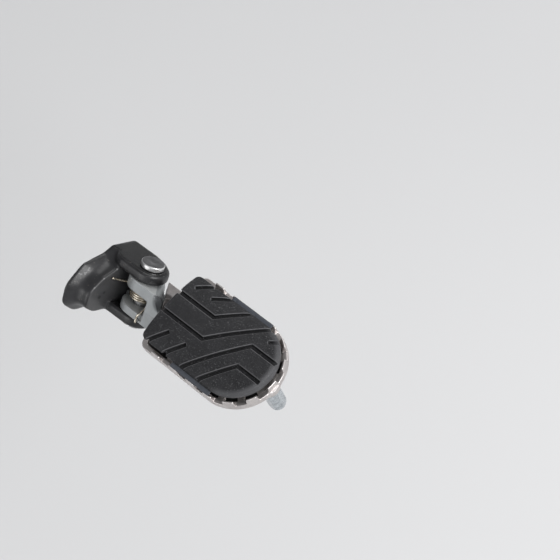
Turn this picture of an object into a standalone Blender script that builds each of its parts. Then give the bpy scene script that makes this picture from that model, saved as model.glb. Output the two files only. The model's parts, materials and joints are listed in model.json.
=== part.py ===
"""Folding foot peg for a motorcycle, right-hand side.

Frame: the origin is on the bracket's flat back face, at the height of the pivot.
+X points away from the motorcycle, +Y forward, +Z up.  Units are metres.
The hinge pin leans 45 degrees forward, so the peg folds up and back.

Three sets of local axes are used, each with its own empty:
  clevis   origin at the middle of the pin, X outboard, Z along the pin (the fixed pieces)
  hinge    the same axes, for the pieces that swing with the peg
  tread    child of hinge, level axes, origin on the pad's inboard edge at its top
"""
import math

import bmesh
import bpy
from mathutils import Matrix, Vector

MM = 0.001
GAP = 0.3                     # clearance between touching pieces

# Driving dimensions, all in millimetres
PIN_X = 28.0                  # back face to hinge pin
PIN_TILT = 45.0               # degrees that the pin leans from vertical
PAD_FROM_PIN = (31.4, 24.9)   # pin middle to the pad's inboard edge, outboard and up

ARM_INNER = 11.3              # clevis arms, distance from the pin's middle
ARM_OUTER = 18.0
ARM_RADIUS = 11.0
BASE_FACE = -14.0             # face of the bracket's base, from the pin

PIN_RADIUS = 4.0
PIN_HEAD_RADIUS = 7.0
PIN_HEAD_HEIGHT = 3.0
PIN_BORE = 4.3

BARREL_RADIUS = 11.0
BARREL_HALF = 11.0
SHOULDER_X = 17.0             # where the joint bends down to its tongue
SPLIT_POINT = (7.6, 8.0)      # the joint meets the ring's neck on a plane along the pin
SPLIT_SLOPE = 0.853           # its outboard run for each millimetre towards the rear
SPLIT_END = 29.0              # outboard end of the clearance in the neck
SLOT_LOW, SLOT_HIGH = -6.3, 4.2
SLOT_END = 12.3

WIRE_RADIUS = 0.64
COIL_RADIUS = 7.5
COIL_END = 4 * 360 + 150      # degrees of wire in the coil
COIL_PITCH = 1.38
COIL_LOW = -2.8               # height of the coil's start
POCKET_RADIUS = 8.9

PAD_HALF = 24.0
PAD_ARC_X = 54.7              # centre of the pad's round end
PAD_CROWN = 0.0068            # drop = crown * y * y
PAD_CORNER = 3.0
PAD_UNDERCUT = 22.0
PAD_FLANGE_Z = -5.8
PAD_BOTTOM_Z = -8.6
GROOVE_HALF = 1.25
GROOVE_DEPTH = 2.3
INSERT_COVER = 4.9            # rubber over the threaded inserts

RING_HALF = 27.2
RING_ARC_X = 53.2             # centre of the ring's round end
RING_WALL = 3.0
RING_START = -2.0
RING_CORNER = 5.0
RING_BOTTOM = -15.4
RING_TOP = -11.5
TOOTH_TOP = -7.2
TOOTH_PITCH = 13.8
TOOTH_LENGTH = 7.5
TOOTH_CREST = 6.2
TEETH_EACH_SIDE = 6
SILL_HALF = 21.0              # inside of the sill between deck and ring

DECK_HALF = 19.5
DECK_TOP, DECK_BOTTOM = -10.5, -14.0
WEB_WIDTH = 4.7
SPINE_HALF = 11.8
SPINE_END = 37.0
SPINE_BOTTOM = -18.0
NECK_TOP = -12.0
BOSS_X = 75.0
BOSS_BOTTOM = -17.2

TONGUE_HALF = 11.0
TONGUE_TOP, TONGUE_BOTTOM = SPINE_BOTTOM - GAP, -25.0
TONGUE_START, TONGUE_END = 4.0, 34.0
JOINT_SCREWS = ((1.0, 0.0), (14.0, 0.0), (27.0, 0.0))
PAD_SCREWS = ((9.0, 15.5), (9.0, -15.5), (58.0, 0.0))

# Chevron grooves of the pad: each is a list of corners (x, y)
GROOVES = (
    ((5.5, 16.0), (15.0, 25.0)),
    ((18.0, 16.3), (29.0, 25.0)),
    ((-2.0, 8.8), (28.2, 8.8), (44.0, 25.0)),
    ((-2.0, -4.9), (32.4, -4.9), (60.0, 25.0)),
    ((31.7, -25.0), (58.2, 8.8), (76.6, 8.8)),
    ((44.5, -25.0), (60.4, -4.9), (77.2, -4.9)),
    ((63.5, 16.0), (69.5, 21.5)),
    ((4.0, -25.0), (13.5, -12.7)),
    ((17.5, -25.0), (27.0, -12.7)),
)


def srgb(red, green, blue):
    """Linear colour from sRGB values of 0 to 255."""
    channels = []
    for value in (red, green, blue):
        value /= 255.0
        low = value <= 0.04045
        channels.append(value / 12.92 if low else ((value + 0.055) / 1.055) ** 2.4)
    return (*channels, 1.0)


def material(name, colour, roughness, metallic):
    made = bpy.data.materials.new(name)
    made.use_nodes = True
    shader = made.node_tree.nodes["Principled BSDF"]
    shader.inputs["Base Color"].default_value = srgb(*colour)
    shader.inputs["Roughness"].default_value = roughness
    shader.inputs["Metallic"].default_value = metallic
    made.diffuse_color = srgb(*colour)
    return made


def empty(name, location, rotation=(0, 0, 0), parent=None):
    made = bpy.data.objects.new(name, None)
    made.location = Vector(location) * MM
    made.rotation_euler = rotation
    made.parent = parent
    bpy.context.scene.collection.objects.link(made)
    return made


def finish(name, bm, parent, finish_material=None, smooth=True):
    """Turns a bmesh in millimetres into an object under one of the empties."""
    bmesh.ops.scale(bm, vec=(MM, MM, MM), verts=bm.verts)
    bmesh.ops.recalc_face_normals(bm, faces=bm.faces)
    mesh = bpy.data.meshes.new(name)
    bm.to_mesh(mesh)
    bm.free()
    if smooth:
        mesh.shade_smooth()
        mesh.set_sharp_from_angle(angle=math.radians(35))
    made = bpy.data.objects.new(name, mesh)
    made.parent = parent
    bpy.context.scene.collection.objects.link(made)
    if finish_material:
        mesh.materials.append(finish_material)
    return made


def prism(outline, low, high, axes=None):
    """Extrudes a closed outline from low to high along the third axis.

    axes is a matrix that turns the (u, v, depth) axes to the piece's own.
    """
    bm = bmesh.new()
    ends = [[bm.verts.new((u, v, depth)) for u, v in outline] for depth in (low, high)]
    bm.faces.new(reversed(ends[0]))
    bm.faces.new(ends[1])
    count = len(outline)
    for i in range(count):
        j = (i + 1) % count
        bm.faces.new((ends[0][i], ends[0][j], ends[1][j], ends[1][i]))
    if axes:
        bmesh.ops.transform(bm, matrix=axes, verts=bm.verts)
    return bm


def soft_plate(outline, low, high, radius, steps=3):
    """A prism with both rims rounded; its outline runs clockwise."""
    corners = [Vector(corner) for corner in outline]
    count = len(corners)
    inward = []
    for i, corner in enumerate(corners):
        before = (corner - corners[i - 1]).normalized()
        after = (corners[(i + 1) % count] - corner).normalized()
        outward = (before + after).orthogonal().normalized()
        inward.append(-outward / outward.dot(after.orthogonal()))
    levels = []
    for step in range(steps + 1):
        angle = math.pi / 2 * step / steps
        inset, depth = radius * (1 - math.sin(angle)), radius * (1 - math.cos(angle))
        levels.insert(step, (low + depth, inset))
        levels.insert(step + 1, (high - depth, inset))
    bm = bmesh.new()
    loops = [[bm.verts.new((*(corner + move * inset), z)) for corner, move in zip(corners, inward)]
             for z, inset in levels]
    for first, second in zip(loops, loops[1:]):
        for i in range(count):
            j = (i + 1) % count
            bm.faces.new((first[i], first[j], second[j], second[i]))
    bm.faces.new(reversed(loops[0]))
    bm.faces.new(loops[-1])
    return bm


def lathe(profile, steps=32, centre=(0, 0)):
    """Turns a profile of (radius, z) points, from the bottom up, about the Z axis."""
    bm = bmesh.new()
    rings = []
    for radius, z in profile:
        if radius == 0:
            rings.append([bm.verts.new((centre[0], centre[1], z))])
            continue
        angles = [2 * math.pi * i / steps for i in range(steps)]
        rings.append([bm.verts.new((centre[0] + radius * math.cos(a),
                                    centre[1] + radius * math.sin(a), z)) for a in angles])
    closed = rings[0][0].co.xy != Vector(centre) and len(rings[0]) > 1
    pairs = list(zip(rings, rings[1:]))
    if closed:
        pairs.append((rings[-1], rings[0]))
    for lower, upper in pairs:
        for i in range(steps):
            j = (i + 1) % steps
            corners = [lower[i % len(lower)], lower[j % len(lower)],
                       upper[j % len(upper)], upper[i % len(upper)]]
            face = list(dict.fromkeys(corners))
            bm.faces.new(face)
    return bm


def hull(points):
    bm = bmesh.new()
    for point in points:
        bm.verts.new(point)
    bmesh.ops.convex_hull(bm, input=bm.verts)
    return bm


def box(low, high):
    return hull([(x, y, z) for x in (low[0], high[0]) for y in (low[1], high[1])
                 for z in (low[2], high[2])])


def rounded(corners, radius, steps=5):
    """Outline of a polygon with each corner rounded; radius may be a list, one for each."""
    points = []
    count = len(corners)
    radii = radius if isinstance(radius, (list, tuple)) else [radius] * count
    for i in range(count):
        here = Vector(corners[i])
        before = (Vector(corners[i - 1]) - here).normalized()
        after = (Vector(corners[(i + 1) % count]) - here).normalized()
        if radii[i] <= 0:
            points.append(tuple(here))
            continue
        half = before.angle(after) / 2
        reach = radii[i] / math.tan(half)
        centre = here + (before + after).normalized() * radii[i] / math.sin(half)
        start = here + before * reach - centre
        stop = here + after * reach - centre
        turn = start.angle_signed(stop)
        for step in range(steps + 1):
            spin = Matrix.Rotation(-turn * step / steps, 2)
            points.append(tuple(centre + spin @ start))
    return points


def combine(target, operation, parts):
    """One Boolean with all the parts, which become hidden cutters."""
    group = bpy.data.collections.new(f"{target.name}_{operation.lower()}")
    for part in parts:
        part.hide_render = True
        part.display_type = "WIRE"
        group.objects.link(part)
    modifier = target.modifiers.new(operation.title(), "BOOLEAN")
    modifier.operation = operation
    modifier.operand_type = "COLLECTION"
    modifier.collection = group
    modifier.solver = "EXACT"
    return modifier


# The outline of the pad, the ring and the deck, at any distance from the mid-plane

def stadium(half, start, corner, centre, arc_steps=32):
    """Closed outline: straight sides, a round outboard end and small inboard corners."""
    outline = []
    for i in range(arc_steps + 1):
        angle = -math.pi / 2 + math.pi * i / arc_steps
        outline.append((centre + half * math.cos(angle), half * math.sin(angle)))
    for i in range(7):
        angle = math.pi / 2 + math.pi / 2 * i / 6
        outline.append((start + corner + corner * math.cos(angle),
                        half - corner + corner * math.sin(angle)))
    for i in range(7):
        angle = math.pi + math.pi / 2 * i / 6
        outline.append((start + corner + corner * math.cos(angle),
                        -half + corner + corner * math.sin(angle)))
    return outline


def around(distance, radius):
    """Point on the ring: distance runs along its outer edge from the outboard tip."""
    quarter = RING_HALF * math.pi / 2
    if abs(distance) <= quarter:
        angle = distance / RING_HALF
        return RING_ARC_X + radius * math.cos(angle), radius * math.sin(angle)
    return RING_ARC_X - (abs(distance) - quarter), math.copysign(radius, distance)


def radial_block(distance, widths, radii, heights, steps):
    """A block on the ring, given (low, high) widths, (low, high) radii pairs and heights."""
    bm = bmesh.new()
    loops = []
    for step in range(steps + 1):
        share = step / steps - 0.5
        loop = []
        for level in (0, 1):
            place = distance + widths[level] * share
            for radius in (radii[level] if level == 0 else reversed(radii[level])):
                loop.append(bm.verts.new((*around(place, radius), heights[level])))
        loops.append(loop)
    for first, second in zip(loops, loops[1:]):
        for i in range(4):
            j = (i + 1) % 4
            bm.faces.new((first[i], first[j], second[j], second[i]))
    bm.faces.new(loops[0])
    bm.faces.new(reversed(loops[-1]))
    return bm


# The fixed pieces

def make_bracket(clevis, black):
    """Cast clevis: a flared base with two round-ended arms."""
    arm = [(-14.0, 13.8), (-8.0, 13.8), (-3.5, 13.2), (0.5, 12.2)]
    for i in range(15):
        angle = math.radians(62) - math.radians(152) * i / 14
        arm.append((ARM_RADIUS * math.cos(angle), ARM_RADIUS * math.sin(angle)))
    # The low arm roots in the base; the high one runs back to the frame along the flare
    roots = {-1: [(-16.5, -11.6), (-16.5, 13.4)],
             1: [(-14.5, -11.6), (-18.5, -10.6), (-22.5, -6.5), (-25.5, -2.5), (-27.6, 1.0),
                 (-27.6, 13.4)]}
    face = rounded([(13.2, 17.3), (13.2, -17.5), (-21.0, -17.6), (-29.6, -13.0), (-29.6, -2.5),
                    (-21.5, 5.2), (-12.0, 10.3), (-6.0, 17.3)],
                   [3.0, 5.0, 6.0, 5.0, 7.0, 6.0, 2.0, 1.5])
    middle = (sum(y for y, _ in face) / len(face), sum(z for _, z in face) / len(face))
    # (distance from the pin, growth of the outline) from the back face outward; the flare
    # is full on the low and rear sides and fades out towards the upper front corner
    sections = ((-PIN_X, 6.6), (-26.5, 6.0), (-24.5, 3.6), (-22.5, 1.5), (-20.5, 0.4), (-18.5, 0.0),
                (-15.0, 0.0), (BASE_FACE, -1.0))
    bm = bmesh.new()
    loops = []
    for x, growth in sections:
        loop = []
        for y, z in face:
            away = Vector((y - middle[0], z - middle[1]))
            fade = max(0.0, (0.8 * away.x + 0.6 * away.y) / away.length)
            away = away * (1 + growth * (1 - 0.9 * fade) / away.length)
            level = min(middle[1] + away.y, ARM_OUTER - 0.3)
            loop.append(bm.verts.new((x, middle[0] + away.x, level)))
        loops.append(loop)
    for first, second in zip(loops, loops[1:]):
        for i in range(len(face)):
            j = (i + 1) % len(face)
            bm.faces.new((first[i], first[j], second[j], second[i]))
    bm.faces.new(loops[0])
    bm.faces.new(reversed(loops[-1]))
    base = finish("bracket", bm, clevis, black)

    arms = []
    for side in (-1, 1):
        plate = soft_plate(arm + roots[side], *sorted((side * ARM_INNER, side * ARM_OUTER)), 1.6)
        arms.append(finish(f"arm_{side}", plate, clevis))
    combine(base, "UNION", arms)
    cuts = [finish("pin_holes", lathe([(0, -20), (PIN_BORE, -20), (PIN_BORE, 20), (0, 20)]), clevis)]
    turn = Matrix.Rotation(math.pi / 2, 4, "Y")
    for number, (y, z) in enumerate(((9.0, 4.5), (-22.5, -6.5))):
        bm = lathe([(0, -12.5), (3.4, -10.5), (3.4, 0.5), (0, 0.5)], 24)
        bmesh.ops.transform(bm, matrix=Matrix.Translation((-PIN_X, y, z)) @ turn, verts=bm.verts)
        cuts.append(finish(f"fixing_hole_{number}", bm, clevis))
    combine(base, "DIFFERENCE", cuts)
    return base


def make_pin(clevis, steel):
    head = ARM_OUTER + GAP
    top = head + PIN_HEAD_HEIGHT
    low = -21.3
    groove = (-20.6, -19.2)
    profile = [(0, low), (PIN_RADIUS - 0.6, low), (PIN_RADIUS, low + 0.6), (PIN_RADIUS, groove[0]),
               (3.0, groove[0]), (3.0, groove[1]), (PIN_RADIUS, groove[1]), (PIN_RADIUS, head),
               (PIN_HEAD_RADIUS - 0.3, head), (PIN_HEAD_RADIUS, head + 0.4),
               (PIN_HEAD_RADIUS, top - 0.5), (PIN_HEAD_RADIUS - 0.5, top), (0, top)]
    finish("pivot_pin", lathe(profile), clevis, steel)
    washer_top = -ARM_OUTER - GAP
    washer = [(4.4, washer_top - 0.8), (8.2, washer_top - 0.8), (8.2, washer_top), (4.4, washer_top)]
    finish("pin_washer", lathe(washer), clevis, steel)
    clip = []
    for i in range(25):
        angle = math.radians(35 + 290 * i / 24)
        clip.append((6.2 * math.cos(angle), 6.2 * math.sin(angle)))
    for i in range(25):
        angle = math.radians(325 - 290 * i / 24)
        clip.append((3.35 * math.cos(angle), 3.35 * math.sin(angle)))
    turn = Matrix.Rotation(math.radians(-70), 4, "Z")
    finish("retaining_clip", prism(clip, -20.25, -19.45, turn), clevis, steel)


def tube(points, radius, sides=8):
    """A round wire through the points, with flat ends."""
    bm = bmesh.new()
    rings = []
    side = Vector((0, 0, 1))
    for i, point in enumerate(points):
        along = (points[min(i + 1, len(points) - 1)] - points[max(i - 1, 0)]).normalized()
        side = (side - along * side.dot(along)).normalized()
        other = along.cross(side)
        ring = []
        for k in range(sides):
            angle = 2 * math.pi * k / sides
            ring.append(bm.verts.new(point + side * radius * math.cos(angle)
                                     + other * radius * math.sin(angle)))
        rings.append(ring)
    for first, second in zip(rings, rings[1:]):
        for k in range(sides):
            j = (k + 1) % sides
            bm.faces.new((first[k], first[j], second[j], second[k]))
    bm.faces.new(rings[0])
    bm.faces.new(reversed(rings[-1]))
    return bm


def make_spring(hinge, wire):
    """Torsion spring: a close coil with one leg on the joint and one on the bracket."""
    low = COIL_LOW
    points = [Vector(point) for point in
              ((9.8, -12.1, -11.3), (9.6, -12.1, -8.6), (10.0, -12.1, -6.4), (10.8, -11.4, -4.8),
               (10.6, -8.8, low - 1.0), (8.4, -4.2, low - 0.2))]
    steps = 18
    for i in range(COIL_END // steps + 1):
        angle = math.radians(steps * i)
        points.append(Vector((COIL_RADIUS * math.cos(angle), COIL_RADIUS * math.sin(angle),
                              low + COIL_PITCH * steps * i / 360)))
    top = points[-1].z
    points += [Vector(point) for point in
               ((-8.0, 0.8, top), (-9.3, -2.4, top), (-10.2, -5.4, top), (-11.3, -8.0, top + 0.3),
                (-12.5, -11.4, top + 1.1), (-13.0, -15.2, top + 2.2))]
    finish("torsion_spring", tube(points, WIRE_RADIUS), hinge, wire)


# The pieces that swing

def split_x(m):
    """Where the plane between joint and neck lies, at a place m across the pin."""
    return SPLIT_POINT[0] + (SPLIT_POINT[1] - m) * SPLIT_SLOPE


def scoop():
    """Pointed hollow that clears the top of the joint and the neck's rear half."""
    bm = lathe([(0, 0), (6.6, 7.7), (6.2, 10.4), (4.2, 12.4), (0, 13.4)], 40)
    turn = Matrix.Rotation(math.radians(-10.5), 4, "Z") @ Matrix.Rotation(math.pi / 2, 4, "Y")
    place = Matrix.Translation((-16.4, -0.5, -10.0)) @ turn
    bmesh.ops.transform(bm, matrix=place, verts=bm.verts)
    return bm


def shoulder_round():
    """Rounds the joint's upper edge where it meets the neck."""
    radius = 5.0
    profile = [(-1, BARREL_HALF + 1), (-1, BARREL_HALF - radius)]
    for i in range(9):
        angle = math.pi - math.pi / 2 * i / 8
        profile.append((radius + radius * math.cos(angle),
                        BARREL_HALF - radius + radius * math.sin(angle)))
    profile.append((radius, BARREL_HALF + 1))
    along = Vector((SPLIT_SLOPE, -1, 0)).normalized()
    inward = Vector((along.y, -along.x, 0))
    axes = Matrix((inward, (0, 0, 1), along)).transposed().to_4x4()
    return prism(profile, -8, 34, Matrix.Translation((*SPLIT_POINT, 0)) @ axes)


def make_joint(hinge, tread, titanium):
    """Forged joint: a slotted barrel on the pin that turns into a level tongue."""
    half = BARREL_HALF
    outline = [(split_x(-BARREL_RADIUS), -BARREL_RADIUS), SPLIT_POINT]
    for i in range(13):
        angle = math.radians(46) + math.radians(86) * i / 12
        outline.append((BARREL_RADIUS * math.cos(angle), BARREL_RADIUS * math.sin(angle)))
    # The heel rests against the bracket's base and stops the peg in its working position
    outline += [(-13.7, 8.2), (-13.7, 2.0)]
    for i in range(11):
        angle = math.radians(173) + math.radians(97) * i / 10
        outline.append((BARREL_RADIUS * math.cos(angle), BARREL_RADIUS * math.sin(angle)))
    bm = prism(outline, -half, half)
    rims = [edge for edge in bm.edges if abs(edge.verts[0].co.z - edge.verts[1].co.z) < 1e-6
            and max(v.co.x for v in edge.verts) < SPLIT_POINT[0] + 0.01]
    bmesh.ops.bevel(bm, geom=rims, offset=0.6, segments=1, affect="EDGES")
    joint = finish("joint_arm", bm, hinge, titanium)

    out, up = PAD_FROM_PIN
    shoulder = SHOULDER_X - out
    corner = math.sqrt(2) * half
    # Below the neck the turned square section is cut off level with the tongue's front side
    lower = [(0, -corner), (10.4, 10.4 - corner), (10.4, corner - 11.2), (-corner, 0)]
    bend = [(shoulder - 0.5, y, z - up) for y, z in lower]
    bend += [(shoulder - 5, y, z - up) for y, z in ((0, 0.4 - corner), (9.6, 10.2 - corner),
                                                    (9.6, corner - 12.4))]
    bend += [(x, y, TONGUE_TOP) for x in (shoulder - 5, shoulder - 0.5) for y in (-8.9, 10.8)]
    inside = 0.2              # the bend ends just inside the tongue's faces
    for y in (inside - TONGUE_HALF, TONGUE_HALF - inside):
        bend += [(TONGUE_START, y, z) for z in (TONGUE_TOP - inside, TONGUE_BOTTOM + inside)]
    tongue = rounded([(shoulder, -TONGUE_HALF), (TONGUE_END, -TONGUE_HALF),
                      (TONGUE_END, TONGUE_HALF), (shoulder, TONGUE_HALF)], [0, 7.0, 7.0, 0])
    tongue = [(x, y) for x, y in tongue if x > shoulder] + [(TONGUE_START - 1, TONGUE_HALF),
                                                          (TONGUE_START - 1, -TONGUE_HALF)]
    adds = [finish("bend", hull(bend), tread),
            finish("tongue", prism(tongue, TONGUE_BOTTOM, TONGUE_TOP), tread)]
    combine(joint, "UNION", adds)

    # The slot is round about the pin at the front and open at the back and inboard
    mouth = math.asin(6.0 / POCKET_RADIUS)
    slot = [(-20, 6.0), (-20, -20), (SLOT_END, -20), (SLOT_END, 0)]
    for i in range(15):
        angle = (math.pi - mouth) * i / 14
        slot.append((POCKET_RADIUS * math.cos(angle), POCKET_RADIUS * math.sin(angle)))
    cuts = [finish("joint_bore", lathe([(0, -20), (PIN_BORE, -20), (PIN_BORE, 20), (0, 20)]), hinge),
            finish("shoulder_round", shoulder_round(), hinge),
            finish("slot", prism(slot, SLOT_LOW, SLOT_HIGH), hinge),
            finish("leg_notch", box((8.6, -20, -9.6), (12.2, -9.6, SLOT_LOW + 0.1)), hinge),
            finish("scoop", scoop(), tread)]
    for number, (x, y) in enumerate(JOINT_SCREWS):
        profile = [(0, TONGUE_BOTTOM - 1), (3.4, TONGUE_BOTTOM - 1), (3.4, TONGUE_TOP + 1),
                   (0, TONGUE_TOP + 1)]
        cuts.append(finish(f"screw_hole_{number}", lathe(profile, 24, (x, y)), tread))
        profile = [(0, TONGUE_BOTTOM - 12), (6.6, TONGUE_BOTTOM - 12), (6.6, TONGUE_BOTTOM),
                   (0, TONGUE_BOTTOM)]
        cuts.append(finish(f"screw_seat_{number}", lathe(profile, 24, (x, y)), tread))
    combine(joint, "DIFFERENCE", cuts)


def make_platform(hinge, tread, stainless):
    """Cast toothed ring with its deck, webs, spine, neck and the boss for the feeler."""
    outer = stadium(RING_HALF, RING_START, RING_CORNER, RING_ARC_X)
    platform = finish("platform", prism(outer, RING_BOTTOM, RING_TOP), tread, stainless)
    inner = stadium(RING_HALF - RING_WALL, RING_START + RING_WALL, RING_CORNER - 2, RING_ARC_X)
    combine(platform, "DIFFERENCE",
            [finish("ring_inside", prism(inner, RING_BOTTOM - 1, RING_TOP + 1), tread)])
    deck = stadium(DECK_HALF, RING_START + 1, 3.0, RING_ARC_X, 24)
    # A low sill between deck and ring closes the pockets behind the teeth from below
    sill = finish("sill", prism(stadium(RING_HALF - 1.5, RING_START + 1.5, 3.0, RING_ARC_X, 24),
                                RING_BOTTOM + 0.6, RING_BOTTOM + 2.0), tread)
    middle = stadium(SILL_HALF, RING_START + 5.0, 3.0, RING_ARC_X - 2.0, 24)
    combine(sill, "DIFFERENCE",
            [finish("sill_inside", prism(middle, RING_BOTTOM, RING_TOP), tread)])
    adds = [finish("deck", prism(deck, DECK_BOTTOM, DECK_TOP), tread), sill]
    for number in range(-TEETH_EACH_SIDE, TEETH_EACH_SIDE + 1):
        place = number * TOOTH_PITCH
        tooth = radial_block(place, (TOOTH_LENGTH, TOOTH_CREST),
                             ((RING_HALF - RING_WALL, RING_HALF), (RING_HALF - 1.0, RING_HALF)),
                             (RING_TOP - 0.4, TOOTH_TOP), 3)
        adds.append(finish(f"tooth_{number}", tooth, tread))
        if number < TEETH_EACH_SIDE:
            inside = DECK_HALF - 0.7
            web = radial_block(place + TOOTH_PITCH / 2, (WEB_WIDTH, WEB_WIDTH),
                               ((inside, RING_HALF - 1.5), (inside, RING_HALF - 1.5)),
                               (RING_BOTTOM + 0.6, RING_TOP - 0.3), 2)
            adds.append(finish(f"web_{number}", web, tread))
    spine = rounded([(-7.6, -SPINE_HALF), (SPINE_END, -SPINE_HALF), (SPINE_END, SPINE_HALF),
                     (-17.0, SPINE_HALF), (-17.0, 2.0)], [1.0, 8.0, 8.0, 0, 0])
    adds.append(finish("spine", prism(spine, SPINE_BOTTOM, NECK_TOP), tread))
    boss = [(0, BOSS_BOTTOM), (5.8, BOSS_BOTTOM), (6.4, BOSS_BOTTOM + 0.8), (6.5, RING_TOP - 0.5),
            (0, RING_TOP - 0.5)]
    adds.append(finish("boss", lathe(boss, 28, (BOSS_X, 0)), tread))
    rib = ((SPINE_END - 2, -2.0, SPINE_BOTTOM + 1.5), (BOSS_X - 3, 2.0, DECK_TOP - 1))
    adds.append(finish("keel", box(*rib), tread))
    combine(platform, "UNION", adds)

    # The neck's inboard end, windows in the deck, and the screw holes
    low_m, high_m = -18.5, 22.0
    end = [(-10, low_m), (SPLIT_END, low_m),
           (SPLIT_END, SPLIT_POINT[1] - (SPLIT_END - SPLIT_POINT[0]) / SPLIT_SLOPE),
           (split_x(high_m), high_m), (-10, high_m)]
    # All of it lies a gap outboard of the joint
    end = [(x + GAP * 1.4, m) for x, m in end]
    cuts = [finish("neck_end", prism(end, -6, 26), hinge), finish("scoop", scoop(), tread)]
    for side in (-1, 1):
        for x in (20.5, 33.0):
            window = rounded([(x - 4.6, side * 15.5 - 2.4), (x + 4.6, side * 15.5 - 2.4),
                              (x + 4.6, side * 15.5 + 2.4), (x - 4.6, side * 15.5 + 2.4)], 1.5, 3)
            cuts.append(finish("window", prism(window, DECK_BOTTOM - 1, DECK_TOP + 1), tread))
        window = rounded([(41.0, side * 4.5), (52.0, side * 4.5), (52.0, side * 15.5),
                          (41.0, side * 15.5)], 2.5, 3)
        cuts.append(finish("window", prism(window, DECK_BOTTOM - 1, DECK_TOP + 1), tread))
    for x, y in JOINT_SCREWS:
        hole = [(0, SPINE_BOTTOM - 1), (3.3, SPINE_BOTTOM - 1), (3.3, NECK_TOP - 1.0),
                (0, NECK_TOP - 0.4)]
        cuts.append(finish("tapped_hole", lathe(hole, 24, (x, y)), tread))
    for x, y in PAD_SCREWS:
        hole = [(0, DECK_BOTTOM - 8), (2.9, DECK_BOTTOM - 8), (2.9, DECK_TOP + 1), (0, DECK_TOP + 1)]
        cuts.append(finish("pad_hole", lathe(hole, 24, (x, y)), tread))
        seat = [(0, DECK_BOTTOM - 8), (5.2, DECK_BOTTOM - 8), (5.2, DECK_BOTTOM), (0, DECK_BOTTOM)]
        cuts.append(finish("pad_seat", lathe(seat, 24, (x, y)), tread))
    hole = [(0, BOSS_BOTTOM - 1), (3.3, BOSS_BOTTOM - 1), (3.3, RING_TOP - 1.5), (0, RING_TOP - 1.5)]
    cuts.append(finish("feeler_hole", lathe(hole, 24, (BOSS_X, 0)), tread))
    combine(platform, "DIFFERENCE", cuts)


def crown(y):
    """Height of the pad's top at a distance from its middle line."""
    return -PAD_CROWN * y * y


def make_pad(tread, rubber):
    """Moulded tread: crowned top with rolled edges, undercut sides and two side lips."""
    roll = 2.6
    rows = []
    for inset in (0.0, 0.35, 1.1, roll, 6.0, 10.0, 15.0, 20.0):
        half = PAD_HALF - inset
        drop = roll - math.sqrt(roll ** 2 - (roll - min(inset, roll)) ** 2)
        corner = max(PAD_CORNER - inset, 0)
        start = PAD_CORNER - math.sqrt(PAD_CORNER ** 2 - corner ** 2)
        row = [(start, -half)]
        row += [(PAD_ARC_X * share, -half) for share in (0.25, 0.5, 0.75)]
        for i in range(33):
            angle = -math.pi / 2 + math.pi * i / 32
            row.append((PAD_ARC_X + half * math.cos(angle), half * math.sin(angle)))
        row += [(PAD_ARC_X * share, half) for share in (0.75, 0.5, 0.25)]
        row.append((start, half))
        # Only the upper part of the roll is kept, so that the edge stays thick
        rows.append([(x, y, crown(y) - 0.55 * drop) for x, y in row])
    count = len(rows[0])
    bm = bmesh.new()
    top = [[bm.verts.new(point) for point in row] for row in rows]
    for outside, inside in zip(top, top[1:]):
        for i in range(count - 1):
            bm.faces.new((outside[i], outside[i + 1], inside[i + 1], inside[i]))
    # The middle strip: the innermost row closed on itself
    last = top[-1]
    for i in range(count // 2):
        j = count - 1 - i
        corners = [last[i], last[i + 1], last[j - 1], last[j]]
        bm.faces.new(list(dict.fromkeys(corners)))
    # The wall under the rim, and the flat underside
    rim = top[0]
    ends = [row[-1] for row in top[1:]] + [row[0] for row in reversed(top[1:])]
    edge = rim + ends
    below = [bm.verts.new((vert.co.x, vert.co.y, PAD_FLANGE_Z)) for vert in edge]
    for i in range(len(edge)):
        j = (i + 1) % len(edge)
        bm.faces.new((edge[i], edge[j], below[j], below[i]))
    bm.faces.new(below)
    pad = finish("rubber_pad", bm, tread, rubber)

    foot = stadium(PAD_UNDERCUT, 0.6, PAD_CORNER, PAD_ARC_X)
    adds = [finish("pad_foot", prism(foot, PAD_BOTTOM_Z, PAD_FLANGE_Z + 0.2), tread)]
    for side in (-1, 1):
        lip = [(side * 21.0, PAD_FLANGE_Z - 0.9), (side * 26.9, PAD_FLANGE_Z - 1.1),
               (side * 26.9, PAD_FLANGE_Z - 0.6), (side * 25.8, PAD_FLANGE_Z - 0.1),
               (side * 23.6, PAD_FLANGE_Z - 0.2), (side * 23.0, PAD_FLANGE_Z + 0.1),
               (side * 21.0, PAD_FLANGE_Z + 0.1)]
        turn = Matrix(((0, 0, 1, 0), (1, 0, 0, 0), (0, 1, 0, 0), (0, 0, 0, 1)))
        adds.append(finish("pad_lip", prism(lip, 25.5, 56.0, turn), tread))
    combine(pad, "UNION", adds)
    cuts = [finish("groove", groove_cutter(corners), tread) for corners in GROOVES]
    for x, y in PAD_SCREWS:
        top = crown(y) - INSERT_COVER
        pocket = [(0, PAD_BOTTOM_Z - 1), (4.4, PAD_BOTTOM_Z - 1), (4.4, top + GAP), (0, top + GAP)]
        cuts.append(finish("insert_pocket", lathe(pocket, 24, (x, y)), tread))
    combine(pad, "DIFFERENCE", cuts)


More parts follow.
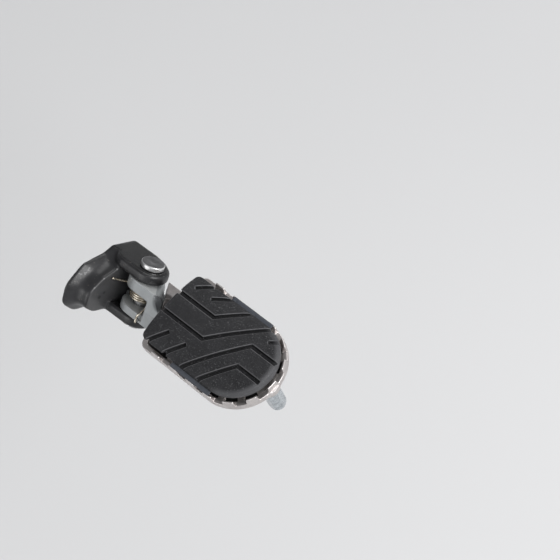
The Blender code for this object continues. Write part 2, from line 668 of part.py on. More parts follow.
def groove_cutter(corners):
    """A ribbon along the groove whose floor keeps its depth under the crowned top."""
    path = [Vector(corners[0])]
    for start, stop in zip(corners, corners[1:]):
        start, stop = Vector(start), Vector(stop)
        steps = max(1, round(abs(stop.y - start.y) / 6))
        path += [start.lerp(stop, (i + 1) / steps) for i in range(steps)]
    bm = bmesh.new()
    loops = []
    for i, point in enumerate(path):
        before = (point - path[i - 1]).normalized() if i else None
        after = (path[i + 1] - point).normalized() if i + 1 < len(path) else before
        before = before or after
        across = (before + after).normalized().orthogonal()
        across *= GROOVE_HALF / max(0.3, across.dot(before.orthogonal()))
        floor = crown(min(abs(point.y), PAD_HALF)) - GROOVE_DEPTH
        loops.append([bm.verts.new((*(point + across * s), z)) for s, z in
                      ((-1, floor), (1, floor), (1, 3.0), (-1, 3.0))])
    for first, second in zip(loops, loops[1:]):
        for i in range(4):
            j = (i + 1) % 4
            bm.faces.new((first[i], first[j], second[j], second[i]))
    bm.faces.new(loops[0])
    bm.faces.new(reversed(loops[-1]))
    return bm


def make_pad_fixings(tread, steel, zinc, brass):
    """Backing plate under the rubber, its threaded inserts, and their screws and washers."""
    plate_top, plate_low = PAD_BOTTOM_Z - GAP, DECK_TOP + GAP
    sheet = stadium(20.0, 2.0, 3.0, PAD_ARC_X, 24)
    plate = finish("pad_backing_plate", prism(sheet, plate_low, plate_top),
                   tread, steel)
    cuts = []
    for number, (x, y) in enumerate(PAD_SCREWS, 1):
        cuts.append(finish("plate_hole", lathe([(0, -15), (4.4, -15), (4.4, -5), (0, -5)], 24,
                                               (x, y)), tread))
        top = crown(y) - INSERT_COVER
        insert = [(2.7, plate_low), (4.1, plate_low), (4.1, top), (2.7, top)]
        finish(f"pad_insert_{number}", lathe(insert, 20, (x, y)), tread, brass)
        seat = DECK_BOTTOM - GAP
        washer = [(2.9, seat - 1.0), (4.9, seat - 1.0), (4.9, seat), (2.9, seat)]
        finish(f"pad_washer_{number}", lathe(washer, 20, (x, y)), tread, zinc)
        screw(f"pad_screw_{number}", (x, y), seat - 1.0 - GAP, -8.2, 2.4, 4.4, 2.6, 3.0, tread, zinc)
    combine(plate, "DIFFERENCE", cuts)


def screw(name, place, seat, tip, shank, head, height, key, parent, metal):
    """A socket screw, head down, with its under-head face at seat."""
    profile = [(0, seat - height), (head - 0.4, seat - height), (head, seat - height + 0.5),
               (head, seat), (shank, seat), (shank, tip - 0.5), (shank - 0.5, tip), (0, tip)]
    made = finish(name, lathe(profile, 24, place), parent, metal)
    across = key / 2 / math.cos(math.pi / 6)
    hexagon = [(place[0] + across * math.cos(math.pi * i / 3),
                place[1] + across * math.sin(math.pi * i / 3)) for i in range(6)]
    combine(made, "DIFFERENCE", [finish(f"{name}_key", prism(hexagon, seat - height - 1,
                                                             seat - height * 0.35), parent)])


def make_joint_fixings(tread, zinc):
    for number, place in enumerate(JOINT_SCREWS, 1):
        seat = TONGUE_BOTTOM - GAP
        washer = [(3.4, seat - 1.4), (5.9, seat - 1.4), (5.9, seat), (3.4, seat)]
        finish(f"joint_washer_{number}", lathe(washer, 24, place), tread, zinc)
        screw(f"joint_screw_{number}", place, seat - 1.4 - GAP, NECK_TOP - 1.8, 3.0, 5.0, 3.6, 5.0,
              tread, zinc)


def make_feeler(tread, zinc):
    """Hexagonal stud with a domed end that touches the ground first in a corner."""
    seat = BOSS_BOTTOM - GAP
    washer = [(3.4, seat - 1.2), (5.4, seat - 1.2), (5.4, seat), (3.4, seat)]
    finish("feeler_washer", lathe(washer, 24, (BOSS_X, 0)), tread, zinc)
    top = seat - 1.2 - GAP
    corner = 4.5 / math.cos(math.pi / 6)
    bottom = -39.0
    dome = [(0, bottom)]
    for i in range(1, 7):
        angle = math.pi / 2 * i / 7
        dome.append((5.3 * math.sin(angle), bottom + 5.3 * (1 - math.cos(angle))))
    profile = dome + [(5.3, top - 0.6), (4.7, top), (3.0, top), (3.0, RING_TOP - 3.0),
                      (2.5, RING_TOP - 2.3), (0, RING_TOP - 2.3)]
    stud = finish("feeler_stud", lathe(profile, 24, (BOSS_X, 0)), tread, zinc)
    hexagon = [(BOSS_X + corner * math.cos(math.pi * i / 3), corner * math.sin(math.pi * i / 3))
               for i in range(6)]
    combine(stud, "INTERSECT", [finish("feeler_flats", prism(hexagon, -45, 0), tread)])


def build():
    for item in list(bpy.data.objects):
        bpy.data.objects.remove(item)
    black = material("black_satin_casting", (58, 58, 60), 0.45, 0.1)
    titanium = material("grey_forging", (150, 153, 155), 0.42, 0.7)
    stainless = material("stainless_casting", (176, 172, 170), 0.33, 0.9)
    rubber = material("black_rubber", (52, 52, 54), 0.8, 0.0)
    steel = material("plated_steel", (150, 150, 150), 0.3, 0.9)
    zinc = material("zinc_plated_steel", (197, 201, 204), 0.3, 0.9)
    wire = material("spring_wire", (178, 172, 164), 0.3, 0.9)
    brass = material("brass", (190, 160, 90), 0.35, 0.9)

    tilt = (-math.radians(90 - PIN_TILT), 0, 0)
    clevis = empty("clevis", (PIN_X, 0, 0), tilt)
    hinge = empty("hinge", (PIN_X, 0, 0), tilt)
    level = empty("hinge_level", (0, 0, 0), (math.radians(90 - PIN_TILT), 0, 0), hinge)
    tread = empty("tread", (PAD_FROM_PIN[0], 0, PAD_FROM_PIN[1]), (0, 0, 0), level)

    make_bracket(clevis, black)
    make_pin(clevis, steel)
    make_spring(hinge, wire)
    make_joint(hinge, tread, titanium)
    make_platform(hinge, tread, stainless)
    make_pad(tread, rubber)
    make_pad_fixings(tread, steel, zinc, brass)
    make_joint_fixings(tread, zinc)
    make_feeler(tread, zinc)


build()
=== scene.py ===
"""Looks of the folding foot peg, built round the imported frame.

The cast, forged and moulded pieces are skinned from their solids with soft edges;
the turned and bent ones are drawn here again at full detail.
Lengths in this script are in millimetres unless a name ends in _m or _M.
"""
import json
import math

import bmesh
import bpy
from mathutils import Matrix, Vector


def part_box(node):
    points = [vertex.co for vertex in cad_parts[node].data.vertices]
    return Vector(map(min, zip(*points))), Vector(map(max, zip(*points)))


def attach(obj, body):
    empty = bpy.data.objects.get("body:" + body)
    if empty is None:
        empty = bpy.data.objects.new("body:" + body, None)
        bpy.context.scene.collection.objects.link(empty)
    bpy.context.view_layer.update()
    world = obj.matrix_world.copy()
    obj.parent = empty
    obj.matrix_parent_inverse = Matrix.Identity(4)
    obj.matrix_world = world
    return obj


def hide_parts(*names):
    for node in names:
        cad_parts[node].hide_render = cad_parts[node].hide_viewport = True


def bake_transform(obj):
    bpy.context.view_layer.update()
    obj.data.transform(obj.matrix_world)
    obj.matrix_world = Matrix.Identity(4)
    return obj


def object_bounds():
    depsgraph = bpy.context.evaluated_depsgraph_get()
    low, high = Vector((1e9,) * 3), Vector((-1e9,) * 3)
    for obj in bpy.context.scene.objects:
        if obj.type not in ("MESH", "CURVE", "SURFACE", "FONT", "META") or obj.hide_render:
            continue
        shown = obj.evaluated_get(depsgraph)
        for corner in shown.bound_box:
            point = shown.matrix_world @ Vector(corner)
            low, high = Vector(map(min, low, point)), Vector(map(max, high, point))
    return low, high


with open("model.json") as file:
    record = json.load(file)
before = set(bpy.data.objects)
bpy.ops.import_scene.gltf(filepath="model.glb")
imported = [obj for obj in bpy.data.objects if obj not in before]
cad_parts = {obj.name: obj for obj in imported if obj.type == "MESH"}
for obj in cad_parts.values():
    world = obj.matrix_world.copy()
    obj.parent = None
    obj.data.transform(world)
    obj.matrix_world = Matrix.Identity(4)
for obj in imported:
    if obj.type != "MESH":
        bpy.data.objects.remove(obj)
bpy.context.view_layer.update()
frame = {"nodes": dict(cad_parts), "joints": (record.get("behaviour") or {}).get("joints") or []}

MM = 0.001
PIN = Vector(frame["joints"][0]["pos_m"]) / MM           # middle of the hinge pin
PIN_AXIS = -Vector(frame["joints"][0]["axis"])           # up along the pin, towards its head
BASE_FACE = -14.0                                        # face of the bracket's base, from the pin
PAD_LOW, PAD_HIGH = (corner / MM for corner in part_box("rubber_pad"))
TREAD = Vector((PAD_LOW.x, 0, PAD_HIGH.z))               # pad's inboard edge at its top
PAD_END_X = TREAD.x + 54.7                               # centre of the pad's round end
PAD_SIDE = 24.0                                          # half width of the pad without lips
SCOOP = TREAD + Vector((-9.0, -1.8, -10.0))              # middle of the hollow over the joint

# Camera, placed about TREAD
LENS_MM, SENSOR_MM = 128.57, 36.0
AZIMUTH, ELEVATION, ROLL = 66.255, 57.655, -26.273       # degrees
DISTANCE, SLIDE_RIGHT, SLIDE_UP = 1114.8, 62.4, 12.0
CLIP_NEAR_M, CLIP_FAR_M = 0.01, 100

FLOOR_BELOW_M = 0.24                                     # floor under the lowest point
FLOOR_HALF_M = 12                                        # half of the floor's side


# ---------------------------------------------------------------- meshes

def clevis_axes():
    """Axes at the middle of the pin: X outboard, Z up along the pin."""
    side = PIN_AXIS.cross(Vector((1, 0, 0)))
    turn = Matrix((Vector((1, 0, 0)), side, PIN_AXIS)).transposed().to_4x4()
    return Matrix.Translation(PIN) @ turn


def added(name, data):
    """New object in the scene, holding a mesh, a camera or a light."""
    made = bpy.data.objects.new(name, data)
    bpy.context.scene.collection.objects.link(made)
    return made


def mesh_from(bm, name):
    """Mesh of a bmesh, which is freed."""
    mesh = bpy.data.meshes.new(name)
    bm.to_mesh(mesh)
    bm.free()
    return mesh


def object_from(bm, name, axes):
    """Object in metres from a bmesh in millimetres, moved out of the axes it is drawn in."""
    bmesh.ops.transform(bm, matrix=axes, verts=bm.verts)
    bmesh.ops.scale(bm, vec=(MM, MM, MM), verts=bm.verts)
    bmesh.ops.recalc_face_normals(bm, faces=bm.faces)
    return added(name, mesh_from(bm, name))


def applied(source):
    """Replaces the object's mesh by what its modifiers make of it."""
    depsgraph = bpy.context.evaluated_depsgraph_get()
    mesh = bpy.data.meshes.new_from_object(source.evaluated_get(depsgraph))
    source.modifiers.clear()
    source.data = mesh


def smooth_shaded(piece, sharp_degrees=None):
    """Shades smooth, except across edges that turn by more than sharp_degrees."""
    piece.data.shade_smooth()
    if sharp_degrees:
        piece.data.set_sharp_from_angle(angle=math.radians(sharp_degrees))


def skin(node, name, voxel, rounds):
    """A soft-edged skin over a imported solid: fine voxels, then a little smoothing."""
    bm = bmesh.new()
    bm.from_mesh(frame["nodes"][node].data)
    bmesh.ops.remove_doubles(bm, verts=bm.verts, dist=1e-6)
    # Remeshed in millimetres, the unit of the voxel's size
    bmesh.ops.scale(bm, vec=(1 / MM, 1 / MM, 1 / MM), verts=bm.verts)
    made = added(name, mesh_from(bm, name))
    remesh = made.modifiers.new("Skin", "REMESH")
    remesh.mode, remesh.voxel_size = "VOXEL", voxel
    ease = made.modifiers.new("Ease", "SMOOTH")
    ease.factor, ease.iterations = 0.5, rounds
    applied(made)
    made.data.transform(Matrix.Scale(MM, 4))
    smooth_shaded(made)
    return made


def circle(bm, radii, z):
    """Ring of new vertices about the Z axis, each at its own radius."""
    count = len(radii)
    return [bm.verts.new((radius * math.cos(2 * math.pi * i / count),
                          radius * math.sin(2 * math.pi * i / count), z))
            for i, radius in enumerate(radii)]


def bridge(bm, rings):
    """Faces from each ring of vertices to the next; a ring of one vertex is a tip."""
    for first, second in zip(rings, rings[1:]):
        count = max(len(first), len(second))
        for i in range(count):
            j = (i + 1) % count
            corners = (first[i % len(first)], first[j % len(first)],
                       second[j % len(second)], second[i % len(second)])
            bm.faces.new(tuple(dict.fromkeys(corners)))


def lathe(profile, count):
    """Turns a profile of (radius, z) points, which starts and ends on the Z axis."""
    bm = bmesh.new()
    bridge(bm, [circle(bm, [radius] * count, z) if radius else [bm.verts.new((0, 0, z))]
                for radius, z in profile])
    return bm


def fillet(centre_radius, centre_z, radius, start, stop, steps=6):
    """Points of a rounded corner on a lathe profile, from start to stop in degrees."""
    return [(centre_radius + radius * math.cos(math.radians(start + (stop - start) * i / steps)),
             centre_z + radius * math.sin(math.radians(start + (stop - start) * i / steps)))
            for i in range(steps + 1)]


def through(points, per_span):
    """A smooth curve through the points, with per_span steps between each two."""
    ends = [points[0] * 2 - points[1]] + points + [points[-1] * 2 - points[-2]]
    curve = []
    for i in range(1, len(ends) - 2):
        a, b, c, d = ends[i - 1:i + 3]
        for step in range(per_span):
            t = step / per_span
            curve.append(0.5 * (2 * b + (c - a) * t + (2 * a - 5 * b + 4 * c - d) * t ** 2
                                + (3 * b - a - 3 * c + d) * t ** 3))
    return curve + [points[-1]]


def wire(points, radius, sides=14):
    """Round wire along the points, with slightly rounded ends."""
    bm = bmesh.new()
    rings = []
    side = Vector((0, 0, 1))
    last = len(points) - 1
    for i, point in enumerate(points):
        along = (points[min(i + 1, last)] - points[max(i - 1, 0)]).normalized()
        side = (side - along * side.dot(along)).normalized()
        other = along.cross(side)
        thick = radius * (0.8 if i in (0, last) else 1.0)
        rings.append([bm.verts.new(point + side * thick * math.cos(2 * math.pi * k / sides)
                                   + other * thick * math.sin(2 * math.pi * k / sides))
                      for k in range(sides)])
    bridge(bm, rings)
    bm.faces.new(rings[0])
    bm.faces.new(reversed(rings[-1]))
    return bm


# ------------------------------------------------------------- materials

def linear(red, green, blue):
    """Linear colour from sRGB values of 0 to 255."""
    channels = []
    for value in (red / 255, green / 255, blue / 255):
        dark = value <= 0.04045
        channels.append(value / 12.92 if dark else ((value + 0.055) / 1.055) ** 2.4)
    return (*channels, 1.0)


class Graph:
    """A little shorthand for wiring one node material, with its textures in millimetres."""

    def __init__(self, name):
        self.made = bpy.data.materials.new(name)
        self.made.use_nodes = True
        self.tree = self.made.node_tree
        self.shader = self.tree.nodes["Principled BSDF"]
        scale = self.node("ShaderNodeMapping")
        scale.inputs["Scale"].default_value = (1 / MM,) * 3
        self.link(self.node("ShaderNodeTexCoord").outputs["Object"], scale.inputs["Vector"])
        self.place = scale.outputs["Vector"]

    def node(self, kind):
        return self.tree.nodes.new(kind)

    def link(self, output, socket):
        self.tree.links.new(output, socket)

    def span(self, source, low, high, to_low=0, to_high=1, clamp=True):
        """Values from low to high, spread from to_low to to_high."""
        made = self.node("ShaderNodeMapRange")
        made.clamp = clamp
        for name, value in (("From Min", low), ("From Max", high),
                            ("To Min", to_low), ("To Max", to_high)):
            made.inputs[name].default_value = value
        self.link(source, made.inputs["Value"])
        return made.outputs["Result"]

    def noise(self, size, detail, rough=0.5):
        """Noise whose features are about size millimetres across."""
        made = self.node("ShaderNodeTexNoise")
        made.inputs["Scale"].default_value = 1 / size
        made.inputs["Detail"].default_value = detail
        made.inputs["Roughness"].default_value = rough
        self.link(self.place, made.inputs["Vector"])
        return made.outputs["Fac"]

    def patches(self, size, detail, low, high, to_low=0, to_high=1, rough=0.5):
        """Noise whose values from low to high are spread from to_low to to_high."""
        return self.span(self.noise(size, detail, rough), low, high, to_low, to_high)

    def relief(self, start, full):
        """0 to 1 as pointiness goes from start to full: up on convex edges, down in hollows."""
        shape = self.node("ShaderNodeNewGeometry")
        return self.span(shape.outputs["Pointiness"], start, full)

    def dot(self, source, direction):
        """Dot product of an output with a direction."""
        made = self.node("ShaderNodeVectorMath")
        made.operation = "DOT_PRODUCT"
        made.inputs[1].default_value = direction
        self.link(source, made.inputs[0])
        return made.outputs["Value"]

    def along(self, direction, offset=0.0):
        """Distance of a point along a direction, less the offset, in millimetres."""
        return self.span(self.dot(self.place, direction), offset, offset + 1, clamp=False)

    def facing(self, direction, low, high):
        """How far a surface faces a direction of the row frame, from 0 to 1."""
        normal = self.node("ShaderNodeTexCoord").outputs["Normal"]
        return self.span(self.dot(normal, direction), low, high)

    def away(self, point, level=False):
        """Distance from a point, or in plan only, in millimetres."""
        made = self.node("ShaderNodeVectorMath")
        made.operation = "DISTANCE"
        made.inputs[1].default_value = point
        source = self.place
        if level:
            plan = self.node("ShaderNodeMapping")
            plan.inputs["Scale"].default_value = (1, 1, 0)
            self.link(self.place, plan.inputs["Vector"])
            source = plan.outputs["Vector"]
        self.link(source, made.inputs[0])
        return made.outputs["Value"]

    def times(self, first, second):
        """Product of an output and an output or a number."""
        made = self.node("ShaderNodeMath")
        made.operation = "MULTIPLY"
        self.link(first, made.inputs[0])
        if isinstance(second, float):
            made.inputs[1].default_value = second
        else:
            self.link(second, made.inputs[1])
        return made.outputs[0]

    def absolute(self, source):
        """An output's value without its sign."""
        made = self.node("ShaderNodeMath")
        made.operation = "ABSOLUTE"
        self.link(source, made.inputs[0])
        return made.outputs[0]

    def blend(self, factor, first, second):
        """Value mix of an output and a number."""
        made = self.node("ShaderNodeMix")
        self.link(factor, made.inputs[0])
        self.link(first, made.inputs[2])
        made.inputs[3].default_value = second
        return made.outputs[0]

    def mix(self, factor, first, second):
        """Colour mix; first and second are colours or outputs."""
        made = self.node("ShaderNodeMix")
        made.data_type = "RGBA"
        self.link(factor, made.inputs[0])
        for socket, value in ((made.inputs[6], first), (made.inputs[7], second)):
            if isinstance(value, tuple):
                socket.default_value = value
            else:
                self.link(value, socket)
        return made.outputs[2]

    def clouded(self, size, dark, light):
        """Colour that drifts between two, in patches about size millimetres across."""
        return self.mix(self.patches(size, 3, 0.35, 0.65), dark, light)

    def paint(self, colour):
        """Base colour, from an output."""
        self.link(colour, self.shader.inputs["Base Color"])

    def roughen(self, size, detail, low, high):
        """Roughness that drifts from low to high."""
        self.link(self.patches(size, detail, 0.3, 0.7, low, high),
                  self.shader.inputs["Roughness"])

    def bump(self, *layers):
        """layers are (height output, depth in millimetres), coarse first."""
        normal = None
        for height, depth in layers:
            made = self.node("ShaderNodeBump")
            made.inputs["Strength"].default_value = 1.0
            made.inputs["Distance"].default_value = depth * MM
            self.link(height, made.inputs["Height"])
            if normal:
                self.link(normal, made.inputs["Normal"])
            normal = made.outputs["Normal"]
        self.link(normal, self.shader.inputs["Normal"])

    def set(self, **values):
        """Plain values of the shader's inputs."""
        for name, value in values.items():
            self.shader.inputs[name.replace("_", " ")].default_value = value


def rubber_material():
    """Moulded tread rubber: matte grain, pale dust specks, smooth side lips; painted highlights on
    the edges, painted shade in the groove floors and a painted sheen on the round end.
    """
    g = Graph("tread_rubber")
    tone = g.clouded(9.0, linear(20, 20, 22), linear(31, 31, 33))
    grain = g.mix(g.patches(0.4, 2, 0.45, 0.68), tone, linear(49, 49, 51))
    # Painted shade darkens the hollows, such as the groove floors
    groove_shade = g.mix(g.relief(0.496, 0.47), grain, linear(9, 9, 10))
    # Painted highlights lighten the convex edges
    lit_rubber_edges = g.mix(g.relief(0.512, 0.545), groove_shade, linear(94, 94, 96))
    # The rolled round end gets a painted soft sheen
    rim = g.span(g.away((PAD_END_X, 0, 0), level=True), PAD_SIDE - 3.4, PAD_SIDE - 1.2)
    roll_sheen = g.times(rim, g.span(g.along((1, 0, 0), PAD_END_X), 0, 6, 0, 0.8))
    end_sheen = g.mix(roll_sheen, lit_rubber_edges, linear(74, 74, 76))
    dust = g.times(g.patches(0.62, 1, 0.64, 0.70, 0, 0.5, rough=0.4),
                   g.patches(6.0, 2, 0.40, 0.55, 0.25, 1))
    dust_and_sheen = g.mix(dust, end_sheen, linear(112, 112, 113))
    # The two lips are moulded smooth and painted a lighter bluish grey
    lips = g.span(g.absolute(g.along((0, 1, 0))), PAD_SIDE + 0.1, PAD_SIDE + 0.4)
    g.paint(g.mix(lips, dust_and_sheen, linear(66, 69, 75)))
    g.roughen(2.5, 3, 0.54, 0.68)
    g.bump((g.noise(1.6, 3), 0.03), (g.noise(0.3, 2, 0.6), 0.05))
    g.set(Specular_IOR_Level=0.32)
    return g.made


def cast_steel_material():
    """Tumbled stainless casting: warm silver, cloudy sheen; painted highlights on the edges,
    painted shade in the hollows, the pockets and the scoop.
    """
    g = Graph("ring_stainless")
    tone = g.clouded(6.0, linear(186, 180, 178), linear(206, 201, 199))
    grain = g.mix(g.patches(0.5, 2, 0.4, 0.7, 0, 0.5), tone, linear(168, 162, 160))
    # Painted shade darkens the hollows
    hollow_shade = g.mix(g.relief(0.49, 0.42), grain, linear(104, 101, 100))
    # Painted highlights lighten the convex edges
    edge_lit = g.mix(g.relief(0.52, 0.6), hollow_shade, linear(232, 229, 227))
    # The pockets behind the teeth and the scoop in the neck get painted shade
    over_pockets = -12.5                                     # height from the tread
    pocket_shade = g.times(g.facing((0, 0, 1), 0.6, 0.9),
                      g.span(g.along((0, 0, 1), TREAD.z),
                             over_pockets - 0.2, over_pockets + 0.2, 1, 0))
    pocket_shaded = g.mix(pocket_shade, edge_lit, linear(62, 60, 60))
    scoop_shade = g.span(g.away(SCOOP), 7.6, 8.6, 0.85, 0)
    g.paint(g.mix(scoop_shade, pocket_shaded, linear(84, 81, 80)))
    g.roughen(1.2, 3, 0.30, 0.46)
    g.bump((g.noise(2.2, 2), 0.04), (g.noise(0.45, 2), 0.02))
    g.set(Metallic=0.92)
    return g.made


def joint_material():
    """Forged joint with a fine matte metallic grey coat, painted highlights on its edges and
    painted shade in the scoop.
    """
    g = Graph("joint_grey")
    tone = g.clouded(7.0, linear(152, 155, 156), linear(164, 167, 168))
    grain = g.mix(g.patches(0.25, 2, 0.4, 0.7, 0, 0.5), tone, linear(170, 174, 176))
    # Painted highlights lighten the convex edges
    edge_lit = g.mix(g.relief(0.52, 0.6), grain, linear(196, 198, 198))
    # Painted shade darkens the scoop by the neck
    scoop_shade = g.span(g.away(SCOOP), 5.6, 7.4, 0.85, 0)
    g.paint(g.mix(scoop_shade, edge_lit, linear(84, 86, 88)))
    g.roughen(1.5, 2, 0.42, 0.54)
    g.bump((g.noise(1.8, 2), 0.02), (g.noise(0.22, 2, 0.6), 0.02))
    g.set(Metallic=0.55)
    return g.made


def bracket_material(pits):
    """Satin black coat over a sand casting: soft orange peel, dust specks; painted highlights on
    the edges, painted light on the base face and painted shade on the faces that look up along the
    pin.

    pits are (place, radius) of small dark pits.
    """
    g = Graph("bracket_black")
    tone = g.clouded(10.0, linear(24, 24, 26), linear(36, 36, 38))
    # Painted light brightens the base face between the arms
    base = g.times(g.facing((1, 0, 0), 0.8, 0.95),
                   g.span(g.along((1, 0, 0), PIN.x), BASE_FACE + 1.5, BASE_FACE + 0.5))
    base_face_lit = g.mix(g.times(base, 0.75), tone, linear(60, 60, 61))
    # Painted highlights lighten the convex edges
    edge_lit = g.mix(g.relief(0.515, 0.55), base_face_lit, linear(84, 84, 85))
    # Faces that look up along the pin get painted shade, are smoother and duller, and lose the
    # painted edge highlights
    top = g.facing(PIN_AXIS, 0.75, 1.0)
    coat = g.mix(top, edge_lit, linear(24, 24, 25))
    g.link(g.blend(top, g.patches(3.0, 3, 0.3, 0.7, 0.34, 0.44), 0.24),
           g.shader.inputs["Roughness"])
    g.link(g.span(top, 0, 1, 0.5, 0.3), g.shader.inputs["Specular IOR Level"])
    for place, radius in pits:
        pit = g.span(g.away(place), radius - 0.3, radius + 0.3, 0.8, 0)
        coat = g.mix(pit, coat, linear(10, 10, 10))
    specks = g.times(g.patches(0.9, 1, 0.69, 0.73, 0, 0.5, rough=0.4),
                     g.patches(5.0, 2, 0.45, 0.6))
    g.paint(g.mix(specks, coat, linear(112, 106, 100)))
    g.bump((g.noise(1.4, 3), 0.05), (g.noise(0.5, 2), 0.03))
    return g.made


def turned_material(name, dark, light, rough, metallic, face_without_highlight=None):
    """Turned, plated or drawn metal with fine tool marks and handling stains.

    If a face direction is given, only what faces it keeps its own tone; the rest gets a bright
    painted highlight.
    """
    g = Graph(name)
    tone = g.clouded(2.5, linear(*dark), linear(*light))
    if face_without_highlight:
        # Surfaces turned away from that direction get a bright painted highlight
        tone = g.mix(g.facing(face_without_highlight, 0.95, 0.75), tone, linear(214, 214, 214))
    stained = linear(*(value * 0.72 for value in dark))
    g.paint(g.mix(g.patches(0.7, 2, 0.62, 0.75, 0, 0.5), tone, stained))
    g.roughen(0.9, 3, rough - 0.06, rough + 0.08)
    g.bump((g.noise(0.5, 2), 0.012))
    g.set(Metallic=metallic)
    return g.made


# ---------------------------------------------------------------- pieces

def dress(piece, node, body, material):
    """The piece stands for a CAD node and takes its finish; it rides on the body, if any."""
    piece.data.materials.clear()
    piece.data.materials.append(material)
    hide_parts(node)
    if body:
        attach(piece, body)


def make_bracket():
    """Bracket casting, with two small pits that its core pins left in the base face."""
    pits = [(clevis_axes() @ Vector((BASE_FACE, y, z)), radius)
            for y, z, radius in ((-17.3, -4.6, 0.8), (-20.1, -7.3, 1.0))]
    piece = skin("bracket", "bracket_casting", 0.34, 60)
    dress(piece, "bracket", "clevis", bracket_material(pits))


def make_pin(steel):
    """Pin with a round-edged foot, a groove for its clip and a head with a centre mark."""
    shank, groove, head = 4.0, 3.0, 7.0                      # radii
    foot, under_head, top = -21.3, 18.3, 21.3                # heights
    groove_low, groove_high = -20.6, -19.2
    foot_edge, under_edge, top_edge = 0.6, 0.3, 0.7          # radii of the rounded edges
    profile = [(0, foot)]
    profile += fillet(shank - foot_edge, foot + foot_edge, foot_edge, -90, 0)
    profile += [(shank, groove_low), (groove, groove_low), (groove, groove_high),
                (shank, groove_high), (shank, under_head)]
    profile += fillet(head - under_edge, under_head + under_edge, under_edge, -90, 0)
    profile += fillet(head - top_edge, top - top_edge, top_edge, 0, 70, 8)
    profile += [(head - 1.3, top - 0.03), (shank, top), (1.2, top), (0.9, top - 0.18),
                (0, top - 0.2)]
    piece = object_from(lathe(profile, 96), "hinge_pin", clevis_axes())
    smooth_shaded(piece, 40)
    dress(piece, "pivot_pin", "clevis", steel)


def make_spring(steel):
    """The coil twists between the joint and the bracket, so it is drawn fine."""
    coil, thick = 7.5, 0.64                                  # radii of the coil and the wire
    low, pitch, sweep, step = -2.8, 1.38, 1590, 6            # sweep and step in degrees
    leg = [Vector(point) for point in
           ((9.8, -12.1, -11.3), (9.6, -12.1, -8.6), (10.0, -12.1, -6.4), (10.8, -11.4, -4.8),
            (10.6, -8.8, low - 1.0), (8.4, -4.2, low - 0.2), (coil, 0, low))]
    points = through(leg, 8)[:-1]
    for degrees in range(0, sweep + 1, step):
        angle = math.radians(degrees)
        points.append(Vector((coil * math.cos(angle), coil * math.sin(angle),
                              low + pitch * degrees / 360)))
    top = points[-1].z
    tail = [points[-1]] + [Vector(point) for point in
                           ((-8.0, 0.8, top), (-9.3, -2.4, top), (-10.2, -5.4, top),
                            (-11.3, -8.0, top + 0.3), (-12.5, -11.4, top + 1.1),
                            (-13.0, -15.2, top + 2.2))]
    points += through(tail, 8)[1:]
    piece = object_from(wire(points, thick), "spring_coil", clevis_axes())
    smooth_shaded(piece)
    dress(piece, "torsion_spring", None, steel)
    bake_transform(piece)


def make_stud(zinc):
    """Hexagonal stud with a domed tip, turned chamfers and a plain neck."""
    low, high = (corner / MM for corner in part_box("feeler_stud"))
    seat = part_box("feeler_washer")[0].z / MM - 0.3           # hexagon's upper end
    across, dome, neck, count = high.y - low.y, 5.3, 3.0, 96
    angles = [2 * math.pi * i / count for i in range(count)]
    hexagon = [across / 2 / math.cos(angle % (math.pi / 3) - math.pi / 6) for angle in angles]
    # (radius that the turned surface allows, height)
    turned = [(dome * math.sin(math.radians(a)), low.z + dome * (1 - math.cos(math.radians(a))))
              for a in range(6, 91, 6)]
    turned += [(dome, (low.z + seat) / 2), (dome, seat - 0.9), (dome - 0.35, seat - 0.4),
               (dome - 0.9, seat)]
    shank = [(neck, seat), (neck, high.z - 0.6), (neck - 0.5, high.z)]
    bm = bmesh.new()
    rings = [[bm.verts.new((0, 0, low.z))]]
    rings += [circle(bm, [min(limit, flat) for flat in hexagon], z) for limit, z in turned]
    rings += [circle(bm, [radius] * count, z) for radius, z in shank]
    bridge(bm, rings)
    bm.faces.new(rings[-1])
    piece = object_from(bm, "feeler_pin", Matrix.Translation(((low.x + high.x) / 2, 0, 0)))
    smooth_shaded(piece, 28)
    dress(piece, "feeler_stud", "peg", zinc)


def finish_hardware(finishes):
    """Gives the nodes that stay as packed a finish each, and breaks their edges."""
    for name, finish in finishes.items():
        node = frame["nodes"][name]
        node.data.materials.clear()
        node.data.materials.append(finish)
        bevel = node.modifiers.new("Edge", "BEVEL")
        bevel.width, bevel.segments, bevel.limit_method = 0.15 * MM, 2, "ANGLE"
        bevel.angle_limit = math.radians(50)
        smooth_shaded(node, 35)


def make_pieces():
    rubber, stainless, joint = rubber_material(), cast_steel_material(), joint_material()
    steel = turned_material("pin_steel", (98, 98, 99), (118, 118, 119), 0.33, 0.9, PIN_AXIS)
    clip = turned_material("clip_steel", (150, 150, 150), (176, 176, 176), 0.26, 0.95)
    spring = turned_material("spring_steel", (186, 176, 160), (214, 206, 192), 0.24, 0.95)
    zinc = turned_material("zinc_plate", (164, 169, 173), (194, 200, 204), 0.26, 0.92)
    brass = turned_material("insert_brass", (176, 146, 82), (196, 166, 98), 0.34, 0.9)

    make_bracket()
    make_pin(steel)
    make_spring(spring)
    dress(skin("joint_arm", "joint_forging", 0.3, 4), "joint_arm", "peg", joint)
    dress(skin("platform", "ring_platform", 0.3, 3), "platform", "peg", stainless)
    dress(skin("rubber_pad", "tread_pad", 0.27, 3), "rubber_pad", "peg", rubber)
    make_stud(zinc)

    finishes = {"pin_washer": clip, "retaining_clip": clip, "pad_backing_plate": clip,
                "feeler_washer": zinc}
    for number in (1, 2, 3):
        finishes[f"pad_insert_{number}"] = brass
        for name in ("pad_screw", "pad_washer", "joint_screw", "joint_washer"):
            finishes[f"{name}_{number}"] = zinc
    finish_hardware(finishes)


# ----------------------------------------------------------------- studio

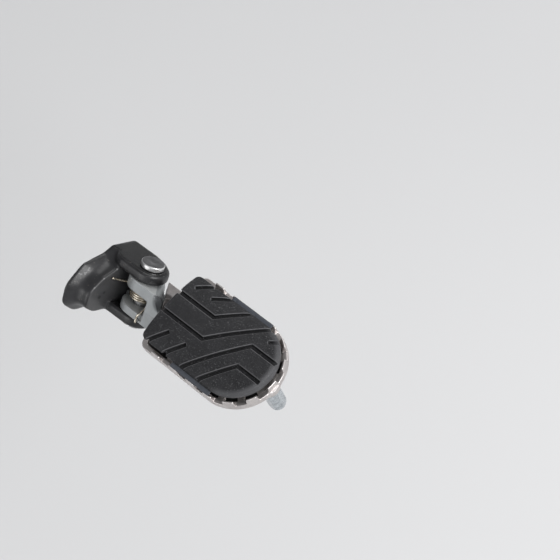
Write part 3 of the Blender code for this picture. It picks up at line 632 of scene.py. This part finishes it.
def camera_axes():
    """Right, up and back vectors of the camera."""
    turn, rise, roll_sheen = (math.radians(angle) for angle in (AZIMUTH, ELEVATION, ROLL))
    back = Vector((math.sin(turn) * math.cos(rise), -math.cos(turn) * math.cos(rise),
                   math.sin(rise)))
    level = Vector((math.cos(turn), math.sin(turn), 0))
    upright = back.cross(level)
    right = level * math.cos(roll_sheen) + upright * math.sin(roll_sheen)
    up = upright * math.cos(roll_sheen) - level * math.sin(roll_sheen)
    return right, up, back


def make_camera():
    right, up, back = camera_axes()
    data = bpy.data.cameras.new("camera")
    data.lens, data.sensor_width = LENS_MM, SENSOR_MM
    data.clip_start, data.clip_end = CLIP_NEAR_M, CLIP_FAR_M
    made = added("camera", data)
    place = TREAD + back * DISTANCE + right * SLIDE_RIGHT + up * SLIDE_UP
    turn = Matrix((right, up, back)).transposed().to_4x4()
    made.matrix_world = Matrix.Translation(place * MM) @ turn
    bpy.context.scene.camera = made


def make_floor():
    """A wide, pale and nearly even floor."""
    ground_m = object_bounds()[0].z - FLOOR_BELOW_M
    bm = bmesh.new()
    bmesh.ops.create_grid(bm, x_segments=8, y_segments=8, size=FLOOR_HALF_M)
    bmesh.ops.translate(bm, vec=(0, 0, ground_m), verts=bm.verts)
    floor = added("floor", mesh_from(bm, "floor"))
    g = Graph("floor_paper")
    g.paint(g.mix(g.patches(900, 2, 0.3, 0.7), (0.60, 0.60, 0.604, 1), (0.64, 0.64, 0.643, 1)))
    g.set(Roughness=0.9)
    floor.data.materials.append(g.made)


def make_room():
    """A pale room, dim high on the inboard side and bright low on the outboard side."""
    world = bpy.data.worlds.new("room")
    world.use_nodes = True
    nodes, links = world.node_tree.nodes, world.node_tree.links
    toward = nodes.new("ShaderNodeVectorMath")
    toward.operation = "DOT_PRODUCT"
    toward.inputs[1].default_value = (0.85, 0.1, -0.35)
    links.new(nodes.new("ShaderNodeTexCoord").outputs["Generated"], toward.inputs[0])
    level = nodes.new("ShaderNodeMapRange")
    for name, value in (("From Min", -0.8), ("From Max", 0.8), ("To Min", 0.30), ("To Max", 0.70)):
        level.inputs[name].default_value = value
    links.new(toward.outputs["Value"], level.inputs["Value"])
    shade = nodes["Background"]
    shade.inputs["Color"].default_value = (0.97, 0.98, 1.0, 1)
    links.new(level.outputs["Result"], shade.inputs["Strength"])
    bpy.context.scene.world = world


def soft_light(name, place_m, size_m, watts):
    """A rectangular soft box that faces the peg."""
    data = bpy.data.lights.new(name, "AREA")
    data.shape, data.size, data.size_y = "RECTANGLE", *size_m
    data.energy = watts
    facing_peg = (Vector(place_m) - TREAD * MM).to_track_quat("Z", "Y").to_matrix().to_4x4()
    added(name, data).matrix_world = Matrix.Translation(place_m) @ facing_peg


def make_studio():
    make_camera()
    make_floor()
    make_room()
    soft_light("outboard_box", (1.5, 0.3, 0.85), (1.4, 0.9), 30)
    soft_light("front_box", (-0.2, 1.5, 1.3), (1.2, 0.8), 11)
    soft_light("rear_box", (-0.3, -1.6, 0.9), (1.2, 0.8), 10)
    bpy.context.scene.view_settings.view_transform = "Standard"


make_pieces()
make_studio()
